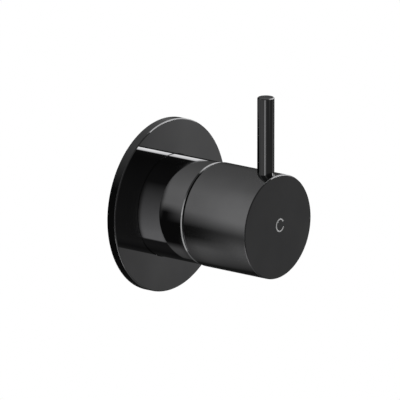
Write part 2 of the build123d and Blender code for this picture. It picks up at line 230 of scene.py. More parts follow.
def turned_grid(points, normals, segments, placed):
    """Surface of revolution of a profile.

    A point (along, radius) of the profile goes to radius times cosine and radius times sine of
    every angle of a full turn. A point on the axis stays one vertex, so its row closes to a fan.
    Returns vertices, normals, the grid of vertex numbers and which rows are poles.
    """
    turn = np.arange(segments) * 2 * np.pi / segments
    pole = points[:, 1] < SAME_PLACE
    first = np.cumsum(np.r_[0, np.where(pole, 1, segments)])[:-1]
    columns = np.arange(segments)
    index = first[:, None] + np.where(pole[:, None], 0, columns)
    row = np.repeat(np.arange(len(points)), np.where(pole, 1, segments))
    column = np.concatenate([columns[:1] if p else columns for p in pole])
    along, radius = points[row].T
    vertices = placed(along, radius * np.cos(turn[column]), radius * np.sin(turn[column]))
    n_along, n_radius = normals[row].T
    on_pole = pole[row]
    n_radius = np.where(on_pole, 0, n_radius)
    n_along = np.where(on_pole, np.sign(n_along), n_along)
    shade = placed(n_along, n_radius * np.cos(turn[column]), n_radius * np.sin(turn[column]))
    shade = shade - placed(*np.zeros((3, 1)))
    return vertices, shade, index, pole


def strips(index, pole, closed, bare=None):
    """Faces between neighbouring rows of a grid of vertex numbers: quads, or the triangles of a fan.

    bare marks the cells that get no face.
    """
    near, far = index, np.roll(index, -1, 0)
    near_pole, far_pole = pole, np.roll(pole, -1)
    if not closed:
        near, far = near[:-1], far[:-1]
        near_pole, far_pole = near_pole[:-1], far_pole[:-1]
    corners = np.stack((near, np.roll(near, -1, 1), np.roll(far, -1, 1), far), axis=2)
    full = np.broadcast_to((~near_pole & ~far_pole)[:, None], corners.shape[:2])
    quads = corners[full if bare is None else full & ~bare]
    opening = corners[near_pole][..., [0, 2, 3]].reshape(-1, 3)
    closing = corners[far_pole][..., [0, 1, 2]].reshape(-1, 3)
    return [*quads.tolist(), *opening.tolist(), *closing.tolist()]


def new_piece(name, vertices, faces, body, material, replaced=()):
    """Mesh object at the origin that rides on a body and stands for CAD nodes."""
    mesh = bpy.data.meshes.new(name)
    mesh.from_pydata(vertices, [], faces)
    if mesh.validate():
        raise RuntimeError(f"{name}: the faces don't make a sound mesh")
    mesh.polygons.foreach_set("use_smooth", np.ones(len(mesh.polygons), bool))
    mesh.materials.append(material)
    piece = bpy.data.objects.new(name, mesh)
    bpy.context.scene.collection.objects.link(piece)
    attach(piece, body)
    if replaced:
        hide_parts(*replaced)
    return piece


def turned_piece(name, corners, closed, body, segments=TURN_COLUMNS, placed=on_valve_axis):
    """Polished piece with exact normals, turned from its profile's corners, in place of its node."""
    points, normals = rounded(corners, closed)
    vertices, shade, index, pole = turned_grid(points, normals, segments, placed)
    faces = strips(index, pole, closed)
    finish = polished_chrome(bpy.context.scene.valve_finishes)
    piece = new_piece(name + "_skin", vertices, faces, body, finish, [name])
    piece.data.normals_split_custom_set_from_vertices(shade)


def screw_wave(along, turn, pitch):
    """Right-hand thread: 0 on its crest and 1 in its root.

    The phase is the place along the axis over the pitch, less the share of a turn. A cosine of it,
    raised and cut off, gives flat crests and roots with straight flanks between. The more it
    swings beyond half of the depth, the wider they are.
    """
    swing = 0.72
    phase = along / pitch - turn / (2 * np.pi)
    return np.clip(0.5 - swing * np.cos(2 * np.pi * phase), 0, 1)


def pierced_tube(skin_points, bore_points, metal):
    """Closed shell between two surfaces on one grid of stations by angles, with windows.

    A cell of the grid is metal or open. A metal cell has a face on each surface. Where metal meets
    an opening, or the first or last station, a wall joins the two surfaces along that edge of the
    grid. Returns the vertices that are used, and the faces.
    """
    stations, columns = skin_points.shape[:2]
    skin = np.arange(stations * columns).reshape(stations, columns)
    bore = skin + stations * columns
    skin_next, bore_next = np.roll(skin, -1, 1), np.roll(bore, -1, 1)
    ends = np.pad(metal, ((1, 1), (0, 0)))
    before = np.roll(metal, 1, 1)
    faces = np.concatenate(
        (
            np.stack((skin[:-1], skin_next[:-1], skin_next[1:], skin[1:]), -1)[metal],
            np.stack((bore[:-1], bore[1:], bore_next[1:], bore_next[:-1]), -1)[metal],
            np.stack((skin, skin_next, bore_next, bore), -1)[ends[:-1] & ~ends[1:]],
            np.stack((skin, bore, bore_next, skin_next), -1)[~ends[:-1] & ends[1:]],
            np.stack((skin[:-1], bore[:-1], bore[1:], skin[1:]), -1)[before & ~metal],
            np.stack((skin[:-1], skin[1:], bore[1:], bore[:-1]), -1)[~before & metal],
        )
    )
    points = np.concatenate((skin_points.reshape(-1, 3), bore_points.reshape(-1, 3)))
    used, faces = np.unique(faces, return_inverse=True)
    return points[used], faces.reshape(-1, 4).tolist()


# Materials


class Shader:
    """Node tree of one finish, with a Principled shader and Object coordinates."""

    def __init__(self, name):
        self.material = bpy.data.materials.new(name)
        self.material.use_nodes = True
        tree = self.material.node_tree
        self.nodes, self.links = tree.nodes, tree.links
        self.surface = self.nodes["Principled BSDF"]
        self.place = self.made("ShaderNodeTexCoord", "Object")

    def put(self, socket, value):
        """Link an output to a socket, or set the socket's value."""
        if isinstance(value, bpy.types.NodeSocket):
            self.links.new(value, socket)
        else:
            socket.default_value = value

    def made(self, kind, output, inputs=None, **settings):
        """One output of a new node with its settings, and its inputs linked or set."""
        node = self.nodes.new(kind)
        for key, value in settings.items():
            setattr(node, key, value)
        for key, value in (inputs or {}).items():
            self.put(node.inputs[key], value)
        return node.outputs[output]

    def stretched(self, scale):
        """Object coordinates stretched by three factors."""
        return self.made("ShaderNodeMapping", "Vector", {"Vector": self.place, "Scale": scale})

    def noise(self, scale, detail=3.0, vector=None):
        """Noise of so many cells in a metre."""
        inputs = {"Vector": vector or self.place, "Scale": scale, "Detail": detail, "Roughness": 0.55}
        return self.made("ShaderNodeTexNoise", "Fac", inputs)

    def cells(self, scale):
        """Distance to the middle of the nearest cell, with so many cells in a metre."""
        return self.made("ShaderNodeTexVoronoi", "Distance", {"Vector": self.place, "Scale": scale})

    def spread(self, value, low, high, start=0.3, end=0.7):
        """A value from start to end, spread from low to high."""
        inputs = {"Value": value, "From Min": start, "From Max": end, "To Min": low, "To Max": high}
        return self.made("ShaderNodeMapRange", "Result", inputs)

    def blend(self, share, first, second):
        """Two colours mixed by a share."""
        return self.made("ShaderNodeMix", 2, {0: share, 6: first, 7: second}, data_type="RGBA")

    def between(self, share, first, second):
        """Two values mixed by a share."""
        return self.made("ShaderNodeMix", 0, {0: share, 2: first, 3: second}, data_type="FLOAT")

    def sums(self, first, second, operation="ADD"):
        """Two values joined by arithmetic."""
        return self.made("ShaderNodeMath", 0, {0: first, 1: second}, operation=operation)

    def share_of(self, direction, axis):
        """How much of a direction goes along an axis."""
        inputs = {0: direction, 1: axis}
        return self.made("ShaderNodeVectorMath", "Value", inputs, operation="DOT_PRODUCT")

    def fade(self, angle, edge, out=False):
        """0 before an edge and 1 after it, or the other way round, with a straight fade between."""
        place, half = (math.radians(part) for part in edge)
        low, high = (1.0, 0.0) if out else (0.0, 1.0)
        return self.spread(angle, low, high, place - half, place + half)

    def bump(self, height, distance, strength=1.0):
        """Relief of a height pattern, in metres."""
        inputs = {"Strength": strength, "Distance": distance, "Height": height}
        self.put(self.surface.inputs["Normal"], self.made("ShaderNodeBump", "Normal", inputs))

    def set(self, **sockets):
        """Values or links for the shader's sockets, by their names with _ for a space."""
        for name, value in sockets.items():
            self.put(self.surface.inputs[name.replace("_", " ")], value)
        return self.material


def shaded(tone, factor):
    """A colour made lighter or darker."""
    return (*(min(1.0, part * factor) for part in tone[:3]), 1.0)


def chrome_finish(name, tone, rough, lines):
    """Black chrome: cloudy tone, uneven polish and fine lines from the lathe."""
    s = Shader(name)
    cloud = s.noise(55.0, 2.0)
    fine = s.noise(900.0, 4.0)
    body = s.blend(s.spread(cloud, 0.0, 1.0), shaded(tone, 0.94), shaded(tone, 1.06))
    polish = s.spread(fine, rough * 0.93, rough * 1.08)
    s.bump(s.noise(1.0, 2.0, s.stretched((300.0, 26000.0, 300.0))), lines)
    return s.set(Base_Color=body, Metallic=1.0, Roughness=polish)


def brass_finish(name, tone, dull):
    """Turned brass: streaks of duller metal and the tool's fine rings."""
    s = Shader(name)
    rings = s.noise(1.0, vector=s.stretched((700.0, 14000.0, 700.0)))
    cloud = s.noise(180.0, 4.0)
    share = s.spread(s.sums(rings, cloud), 0.0, 1.0, 0.7, 1.3)
    s.bump(rings, 6e-6)
    return s.set(
        Base_Color=s.blend(share, dull, tone), Metallic=1.0, Roughness=s.spread(cloud, 0.20, 0.36)
    )


def polished_chrome(tones):
    """Finish of the plate, the sleeve and the lever pin, made once."""
    name = "polished_black_chrome"
    return bpy.data.materials.get(name) or chrome_finish(name, tones.chrome, rough=0.022, lines=2e-8)


def turned_brass(tones):
    """Finish of the brass pieces, made once."""
    name = "turned_brass"
    return bpy.data.materials.get(name) or brass_finish(name, tones.brass, tones.brass_dark)


def rubber_finish(name, tone):
    """Moulded rubber: matt, with a bloom in patches."""
    s = Shader(name)
    bloom = s.noise(420.0, 4.0)
    s.bump(s.noise(5200.0), 8e-6)
    return s.set(
        Base_Color=s.blend(s.spread(bloom, 0.0, 1.0), tone, shaded(tone, 1.9)),
        Roughness=s.spread(bloom, 0.5, 0.7),
        Specular_IOR_Level=0.4,
    )


def foam_finish(name, tone):
    """Closed-cell foam: small pits, with painted shade that darkens their middles and lightens their
    rims.
    """
    s = Shader(name)
    pit_depth_and_shade = s.cells(1500.0)
    s.bump(pit_depth_and_shade, 1.2e-4, 0.7)
    return s.set(
        # Painted shade: the colour is darker in the middle of each pit and lighter on its rim, following
        # the pits' depth.
        Base_Color=s.blend(s.spread(pit_depth_and_shade, 0.0, 1.0, 0.1, 0.6), shaded(tone, 0.45), shaded(tone, 1.5)),
        Roughness=0.85,
        Specular_IOR_Level=0.25,
    )


def ceramic_finish(name, tone):
    """Lapped ceramic: faint specks in a smooth, slightly warm white."""
    s = Shader(name)
    speck = s.noise(2600.0, 5.0)
    haze = s.noise(250.0, 2.0)
    s.bump(speck, 2e-6)
    return s.set(
        Base_Color=s.blend(s.spread(speck, 0.0, 1.0), shaded(tone, 0.9), tone),
        Roughness=s.spread(haze, 0.12, 0.24),
    )


def plastic_finish(name, tone, low, high):
    """Moulded plastic: spark-eroded grain and a slightly uneven satin."""
    s = Shader(name)
    grain = s.noise(3600.0)
    s.bump(grain, 7e-6)
    return s.set(
        Base_Color=s.blend(s.spread(grain, 0.0, 1.0), shaded(tone, 0.88), shaded(tone, 1.08)),
        Roughness=s.spread(s.noise(500.0), low, high),
    )


def steel_finish(name, tone):
    """Stainless steel: short streaks and a satin that varies."""
    s = Shader(name)
    streak = s.noise(1.0, vector=s.stretched((900.0, 9000.0, 900.0)))
    s.bump(streak, 4e-6)
    return s.set(
        Base_Color=s.blend(s.spread(streak, 0.0, 1.0), shaded(tone, 0.85), shaded(tone, 1.05)),
        Metallic=1.0,
        Roughness=s.spread(s.noise(600.0), 0.24, 0.4),
    )


def coat_nodes(material, *names):
    """Give carried-over CAD nodes a finish."""
    for name in names:
        slots = NODES[name].material_slots
        if not slots:
            raise RuntimeError(f"{name} has no material slot")
        for place in slots:
            place.material = material


# Pieces


class VALVE_OT_wall_plate(bpy.types.Operator):
    """Wall plate: polished disc with a bevelled front edge, a rim, a hub and a ring groove"""

    bl_idname = "valve.wall_plate"
    bl_label = "Wall plate"

    def execute(self, context):
        trim = context.scene.valve_trim
        front, radius = trim.plate_thickness, trim.plate_radius
        soft, fine = trim.rounding, trim.fine_rounding
        recess = front - trim.plate_web
        hub = trim.plate_bore + trim.hub_width
        groove_back, groove_front, groove_radius = 1.4 * MM, 3.5 * MM, 25.54 * MM
        relief = 0.4 * MM
        corners = (
            (front, trim.plate_bore, fine),
            (groove_front, trim.plate_bore, fine),
            (groove_front, groove_radius, fine),
            (groove_back, groove_radius, fine),
            (groove_back, trim.plate_bore, fine),
            (relief, trim.plate_bore, fine),
            (relief, hub, fine),
            (recess, hub, fine),
            (recess, radius - trim.rim_width, fine),
            (0, radius - trim.rim_width, fine),
            (0, radius, fine),
            (front - trim.edge_lead, radius, soft),
            (front, radius - trim.edge_depth, soft),
        )
        turned_piece("wall_plate", corners, True, "plate")
        return {"FINISHED"}


class VALVE_OT_sleeve(bpy.types.Operator):
    """Sleeve: polished tube with bevelled ends and a seat in its mouth"""

    bl_idname = "valve.sleeve"
    bl_label = "Sleeve"

    def execute(self, context):
        trim = context.scene.valve_trim
        front, back, radius = trim.sleeve_reach, -trim.sleeve_tail, trim.sleeve_radius
        bevel, inner = trim.bevel, trim.inner_bevel
        soft, fine = trim.rounding, trim.fine_rounding
        seat_back, seat_radius, lead = 27.5 * MM, 22.5 * MM, 0.55 * MM
        corners = (
            (back, trim.sleeve_bore + inner, fine),
            (back, radius - bevel, soft),
            (back + bevel, radius, soft),
            (front - lead, radius, soft),
            (front, radius - bevel, soft),
            (front, seat_radius, fine),
            (seat_back, seat_radius, fine),
            (seat_back, trim.sleeve_bore, fine),
            (back + inner, trim.sleeve_bore, fine),
        )
        turned_piece("sleeve", corners, True, "valve")
        return {"FINISHED"}


class VALVE_OT_handle(bpy.types.Operator):
    """Handle: knob turned from bar, with a skirt, a blind bore and bevelled edges"""

    bl_idname = "valve.handle"
    bl_label = "Handle"

    bore, bore_end, cavity_end = 6.98 * MM, 64.0 * MM, 52.0 * MM
    patch_reach, patch_rows, patch_half = 5.4 * MM, 11, 10

    def profile(self, trim):
        """Corners of the knob's profile, with extra rows on the barrel where the lever pin stands."""
        front, back, radius = trim.handle_front - trim.mark_relief, trim.handle_back, trim.handle_radius
        inner, soft, fine = trim.inner_bevel, trim.rounding, trim.fine_rounding
        patch = trim.pin_out + np.linspace(-self.patch_reach, self.patch_reach, self.patch_rows)
        return (
            (self.bore_end, 0, 0),
            (self.bore_end, self.bore, fine),
            (self.cavity_end + inner, self.bore, fine),
            (self.cavity_end, self.bore + inner, fine),
            (self.cavity_end, trim.skirt_bore, fine),
            (back + inner, trim.skirt_bore, fine),
            (back, trim.skirt_bore + inner, fine),
            (back, radius - trim.bevel, soft),
            (back + trim.back_lead, radius, soft),
            *((place, radius, 0) for place in patch),
            (front - trim.edge_lead, radius, soft),
            (front, radius - trim.edge_depth, soft),
            (front, 0, 0),
        )

    def execute(self, context):
        trim, tones = context.scene.valve_trim, context.scene.valve_finishes
        fine = trim.fine_rounding
        points, normals = rounded(self.profile(trim), False)
        vertices, shade, index, pole = turned_grid(points, normals, TURN_COLUMNS, on_valve_axis)
        near = np.abs(points[:, 0] - trim.pin_out) < self.patch_reach + fine
        barrel = np.flatnonzero(near & (points[:, 1] > trim.handle_radius - fine))
        top_column = TURN_COLUMNS // 4
        first, last = barrel[0], barrel[-1]
        left, right = top_column - self.patch_half, top_column + self.patch_half
        bare = np.zeros((len(points) - 1, TURN_COLUMNS), bool)
        bare[first:last, left:right] = True
        edge = np.r_[
            index[first, left:right],
            index[first:last, right],
            index[last, right:left:-1],
            index[last:first:-1, left],
        ]
        rings, ring_shade = self.pin_hole(trim, vertices[edge])
        added = len(vertices) + np.arange(rings.shape[0] * rings.shape[1]).reshape(rings.shape[:2])
        rows = np.r_[edge[None], added]
        hole = np.stack((rows[:-1], np.roll(rows[:-1], -1, 1), np.roll(rows[1:], -1, 1), rows[1:]), -1)
        faces = strips(index, pole, False, bare) + hole.reshape(-1, 4).tolist() + [added[-1].tolist()]
        vertices = np.r_[vertices, rings.reshape(-1, 3)]
        finish = chrome_finish("satin_black_chrome", tones.satin, rough=0.08, lines=2e-7)
        piece = new_piece(
            "handle_skin", vertices, faces, "handle", finish, ["handle"]
        )
        shade = np.r_[shade, ring_shade.reshape(-1, 3)]
        piece.data.normals_split_custom_set_from_vertices(shade)
        return {"FINISHED"}

    def pin_hole(self, trim, edge):
        """Rings of points from the edge of a bare patch of the barrel into the hole for the pin.

        Seen from above, the first rings go from the patch's edge to the circle of the hole in even
        steps along straight lines, at the height of the barrel. The next ones go down its wall, in
        along its seat and down the wall of the stud's hole. Returns points and normals.
        """
        middle = np.array((0.0, -trim.pin_out))
        spoke = edge[:, :2] - middle
        circle = spoke / np.linalg.norm(spoke, axis=1, keepdims=True)
        clearance, narrow, bottom, steps = 0.03 * MM, 2.5 * MM, 13.6 * MM, 6
        wide = trim.pin_radius + clearance
        share = np.linspace(0, 1, steps + 1)[1:, None, None]
        flat = spoke * (1 - share) + circle * wide * share
        height = np.sqrt(trim.handle_radius**2 - flat[..., 0] ** 2)
        flat = np.r_[flat, [circle * wide, circle * narrow, circle * narrow]] + middle
        level = np.array((trim.pin_seat, trim.pin_seat, bottom))[:, None]
        height = np.r_[height, np.broadcast_to(level, (len(level), len(edge)))]
        points = np.concatenate((flat, height[..., None]), axis=2)
        normals = points * (1, 0, 1) / trim.handle_radius
        return points, normals / np.linalg.norm(normals, axis=2, keepdims=True)


class VALVE_OT_cold_mark(bpy.types.Operator):
    """Cold mark: an open ring on the handle's face"""

    bl_idname = "valve.cold_mark"
    bl_label = "Cold mark"

    def execute(self, context):
        """Sweep a flat bar along part of an ellipse.

        A point is the middle plus half the width times cosine and half the height times sine of its
        angle, with half of the stroke added on the outside and taken off on the inside.
        """
        trim, tones = context.scene.valve_trim, context.scene.valve_finishes
        middle_x, middle_z = 1.4 * MM, 0.5 * MM
        wide, tall, stroke = 2.60 * MM, 2.80 * MM, 0.62 * MM
        start, end, stations = 30.0, 340.0, 97
        turn = np.radians(np.linspace(start, end, stations))
        top, sunk = trim.handle_front, 3 * trim.mark_relief
        base = top - trim.mark_relief - sunk
        lift = np.array((base, top, top, base))
        side = np.array((0.5, 0.5, -0.5, -0.5)) * stroke
        across = middle_x + (wide + side) * np.cos(turn)[:, None]
        up = middle_z + (tall + side) * np.sin(turn)[:, None]
        along = np.broadcast_to(lift, across.shape)
        vertices = on_valve_axis(along, across, up).reshape(-1, 3)
        index = np.arange(len(vertices)).reshape(across.shape)
        ring = np.roll(index, -1, 1)
        sides = np.stack((index[:-1], index[1:], ring[1:], ring[:-1]), axis=2).reshape(-1, 4)
        faces = [*sides.tolist(), index[0].tolist(), index[-1][::-1].tolist()]
        s = Shader("cold_mark_grey")
        grain = s.noise(6000.0)
        finish = s.set(
            Base_Color=s.blend(s.spread(grain, 0.0, 1.0), shaded(tones.mark, 0.85), tones.mark),
            Roughness=s.spread(grain, 0.45, 0.6),
        )
        new_piece("cold_mark", vertices, faces, "handle", finish)
        return {"FINISHED"}


class VALVE_OT_lever_pin(bpy.types.Operator):
    """Lever pin: round bar with a bevelled end and a stud in the handle"""

    bl_idname = "valve.lever_pin"
    bl_label = "Lever pin"

    def execute(self, context):
        trim = context.scene.valve_trim
        bevel, inner = trim.bevel, trim.inner_bevel
        soft, fine = trim.rounding, trim.fine_rounding
        stud, stud_end, columns = 2.45 * MM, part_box("lever_pin")[0].z, 96
        corners = (
            (stud_end, 0, 0),
            (stud_end, stud - inner, fine),
            (stud_end + inner, stud, fine),
            (trim.pin_seat, stud, fine),
            (trim.pin_seat, trim.pin_radius, fine),
            (trim.pin_top - bevel, trim.pin_radius, soft),
            (trim.pin_top, trim.pin_radius - bevel, soft),
            (trim.pin_top, 0, 0),
        )
        turned_piece("lever_pin", corners, False, "handle", columns, on_pin_axis)
        return {"FINISHED"}


class VALVE_OT_brass(bpy.types.Operator):
    """Brass pieces inside the trim: carrier, nut, spindle and adapter"""

    bl_idname = "valve.brass"
    bl_label = "Brass pieces"

    def execute(self, context):
        finish = turned_brass(context.scene.valve_finishes)
        coat_nodes(finish, "sleeve_carrier", "lock_nut", "spindle", "spline_adapter")
        return {"FINISHED"}


class VALVE_OT_headwork_body(bpy.types.Operator):
    """Headwork body: disc cage with windows, pipe thread, hexagon, threaded neck and stop crown"""

    bl_idname = "valve.headwork_body"
    bl_label = "Headwork body"

    cage_back, slot_end, window_back, window_front = -21.46 * MM, -16.96 * MM, -14.14 * MM, -11.34 * MM
    thread_back, thread_front, chamber_end = -10.94 * MM, -2.94 * MM, -7.34 * MM
    hex_back, hex_front, neck_front = -1.0 * MM, 5.0 * MM, 15.5 * MM
    guide_front, crown_front = 20.5 * MM, 23.6 * MM
    groove_radius, guide_radius, crown_bore = 8.8775 * MM, 8.0 * MM, 6.0 * MM
    bevel, cone_length, crown_root = 0.9 * MM, 1.1 * MM, 0.1 * MM
    columns, thread_stations, neck_stations, cone_stations = 180, 50, 64, 7

    # Half angles of a slot, of a window and of the crown, the crown's middle, and where edges are
    # sharp, in degrees
    slot_half, window_half, crown_half, crown_middle, sharp = 14, 50, 114, 270, 34

    def outside(self, sizes, turn):
        """Outer surface by stations: its radius is the least of the limits that hold there.

        The pipe thread and the neck are a radius less the thread's depth times its wave, and a
        bevel at the end. The hexagon is half its width over the cosine of the angle to the middle
        of its flat, and no more than a cone at each end.
        """
        rows = []

        def section(along, radius):
            rows.append((np.broadcast_to(along[:, None], radius.shape), radius))

        def plain(radius, *along):
            section(np.array(along), np.full((len(along), len(turn)), radius))

        slot, window = (self.cage_back, self.slot_end), (self.window_back, self.window_front)
        plain(sizes.cage_radius, *slot, *window, self.thread_back)
        along = np.linspace(self.thread_back, self.thread_front, self.thread_stations)
        wave = screw_wave(along[:, None], turn, sizes.thread_pitch) * sizes.thread_depth
        end = sizes.thread_radius - self.bevel + (along - self.thread_back)[:, None]
        section(along, np.minimum(sizes.thread_radius - wave, end))
        plain(self.groove_radius, self.thread_front, self.hex_back)
        half = sizes.wrench_size / 2
        flat = half / np.cos((turn % (np.pi / 3)) - np.pi / 6)
        ramp = np.linspace(0, self.cone_length, self.cone_stations)
        along = np.r_[self.hex_back + ramp, self.hex_front - ramp[::-1]]
        cone = half + 2 * np.minimum(along - self.hex_back, self.hex_front - along)[:, None]
        section(along, np.minimum(flat, cone))
        along = np.linspace(self.hex_front, self.neck_front, self.neck_stations)
        rise = np.clip((along - self.hex_front) / sizes.neck_pitch, 0, 1)[:, None]
        wave = screw_wave(along[:, None], turn, sizes.neck_pitch) * sizes.neck_depth * rise
        end = sizes.neck_radius - self.bevel + (self.neck_front - along)[:, None]
        section(along, np.minimum(sizes.neck_radius - wave, end))
        crown = (self.guide_front - self.crown_root, self.guide_front, self.crown_front)
        plain(self.guide_radius, self.neck_front, *crown)
        return np.concatenate([row[0] for row in rows]), np.concatenate([row[1] for row in rows])

    def inside(self, sizes, along):
        """Bore, station by station: disc chamber, spindle guide and crown, evenly spaced between."""
        last = len(along) - 1
        step = int(np.searchsorted(along, self.chamber_end))
        stations = (0, 1, 2, 3, step, step + 1, last - 2, last - 1, last)
        places = (
            self.cage_back, self.slot_end, self.window_back, self.window_front, self.chamber_end,
            self.chamber_end, self.guide_front, self.guide_front, self.crown_front,
        )
        radii = (*[sizes.cage_bore] * 5, *[sizes.spindle_bore] * 2, *[self.crown_bore] * 2)
        every = np.arange(len(along))
        return np.interp(every, stations, places), np.interp(every, stations, radii)

    def execute(self, context):
        sizes = context.scene.valve_headwork
        turn = np.arange(self.columns) * 2 * np.pi / self.columns
        along, radius = self.outside(sizes, turn)
        skin = on_valve_axis(along, radius * np.cos(turn), radius * np.sin(turn))
        bore_rows = self.inside(sizes, along[:, 0])
        depth, bore = (np.broadcast_to(row[:, None], radius.shape) for row in bore_rows)
        lining = on_valve_axis(depth, bore * np.cos(turn), bore * np.sin(turn))
        middle = np.degrees(turn) + 180.0 / self.columns
        metal = np.ones((len(along) - 1, self.columns), bool)
        slots, windows, crown = 0, 2, -1
        metal[slots] = np.abs((middle + 90) % 180 - 90) > self.slot_half
        metal[windows] = np.abs(middle % 180 - 90) > self.window_half
        metal[crown] = np.abs((middle - self.crown_middle + 180) % 360 - 180) < self.crown_half
        vertices, faces = pierced_tube(skin, lining, metal)
        finish = turned_brass(context.scene.valve_finishes)
        piece = new_piece(
            "headwork_body_skin", vertices, faces, "valve", finish, ["headwork_body"]
        )
        piece.data.set_sharp_from_angle(angle=math.radians(self.sharp))
        return {"FINISHED"}


class VALVE_OT_seals(bpy.types.Operator):
    """Rubber rings, the seat seal and the foam gasket"""

    bl_idname = "valve.seals"
    bl_label = "Seals"

    def execute(self, context):
        tones = context.scene.valve_finishes
        rings = ("plate_o_ring", "body_o_ring", "spindle_o_ring_front", "spindle_o_ring_rear")
        coat_nodes(rubber_finish("matt_rubber", tones.rubber), "seat_seal", *rings)
        coat_nodes(foam_finish("closed_cell_foam", tones.foam), "wall_gasket")
        return {"FINISHED"}


class VALVE_OT_discs(bpy.types.Operator):
    """Ceramic discs"""

    bl_idname = "valve.discs"
    bl_label = "Ceramic discs"

    def execute(self, context):
        finish = ceramic_finish("lapped_ceramic", context.scene.valve_finishes.ceramic)
        coat_nodes(finish, "fixed_disc", "moving_disc")
        return {"FINISHED"}


class VALVE_OT_plastics(bpy.types.Operator):
    """Plastic glide ring, thrust washer and stop ring"""

    bl_idname = "valve.plastics"
    bl_label = "Plastic pieces"

    def execute(self, context):
        tones = context.scene.valve_finishes
        # The glide ring's black is darker than the plastic's own: painted shade in the gap where the
        # ring shows.
        dark = plastic_finish("black_plastic", tones.black_plastic, low=0.35, high=0.5)
        pale = plastic_finish("white_plastic", tones.white_plastic, low=0.3, high=0.45)
        coat_nodes(dark, "glide_ring")
        coat_nodes(pale, "thrust_washer", "stop_ring")
        return {"FINISHED"}


class VALVE_OT_steel(bpy.types.Operator):
    """Steel screws and the spring clip"""

    bl_idname = "valve.steel"
    bl_label = "Steel pieces"

    def execute(self, context):
        finish = steel_finish("satin_steel", context.scene.valve_finishes.steel)
        coat_nodes(finish, "adapter_screw", "grub_screw", "retaining_clip")
        return {"FINISHED"}


# Stage


class Panel(NamedTuple):
    """Soft panel of the light tent, painted over those before it.

    Its edges near and far go by the angle from the valve's axis on the room's side, and first and
    last by the angle round that axis, from the right over the top. Each has its angle and half the
    width of its fade, in degrees. Lag is how much later near and far come on the right.
    """

    level: float
    near: tuple
    far: tuple
    first: tuple = (-120, 10)
    last: tuple = (360, 10)
    lag: float = 0.0


TENT_PANELS = {
    "glow_straight_in_front": Panel(0.5, (-10, 1), (5.5, 3)),
    "dim_fill_in_front": Panel(0.23, (42, 2), (60, 3), (-30, 6), (-8, 2)),
    "fill_in_front": Panel(0.54, (50, 2), (60, 3), (-21, 13), (-8, 2)),
    "dim_card_left": Panel(0.32, (40, 4), (117, 1), (125, 65), (278, 12)),
    "strip_light": Panel(13.5, (45.2, 0.5), (54.4, 0.3), (12, 1.5), (31, 1.5)),
    "left_panel_edge": Panel(4.9, (53.56, 0.05), (54.95, 0.15), (175, 55), (251, 2), -0.95),
    "left_panel": Panel(2.1, (54.95, 0.15), (61.5, 1.5), (150, 22), (227, 3), -0.95),
    "low_left_panel": Panel(2.2, (61.5, 1.5), (117, 1), (213, 3), (256, 4)),
    "low_panel": Panel(0.7, (72, 3), (102, 4), (255, 4), (282, 14)),
    "top_panel": Panel(3.0, (54.97, 0.05), (117, 1), (17, 6), (75, 8), -0.95),
    "dark_cloth_behind": Panel(0.02, (117, 1), (190, 1)),
    "back_panel": Panel(0.72, (117, 1), (124.45, 0.1), (62, 62), (182, 16), 1.07),
    "back_panel_middle": Panel(1.02, (117, 1), (121.2, 1.1), (122, 25), (186, 17)),
    "back_panel_low_front": Panel(0.47, (117, 1), (121.2, 1.1), (200, 26), (267, 28)),
    "back_panel_low": Panel(0.44, (120.6, 1.1), (122.9, 0.5), (232, 12), (276, 26), 1.07),
    "dark_card_behind": Panel(0.02, (123.5, 0.6), (124.45, 0.1), (168, 10), (300, 10), 1.07),
    "low_card_behind": Panel(0.28, (123.2, 0.3), (124.45, 0.1), (255, 8), (290, 20), 1.07),
    "panel_above_behind": Panel(0.3, (124.45, 0.1), (134, 4), (15, 10), (125, 30), 1.07),
    "left_panel_behind": Panel(0.32, (126.4, 0.4), (190, 1), (95, 35), (232, 18)),
}


def heading(azimuth, elevation):
    """Unit vector of an azimuth and an elevation in radians; azimuth 0 is the room's side."""
    level = math.cos(elevation)
    return Vector((math.sin(azimuth) * level, -math.cos(azimuth) * level, math.sin(elevation)))


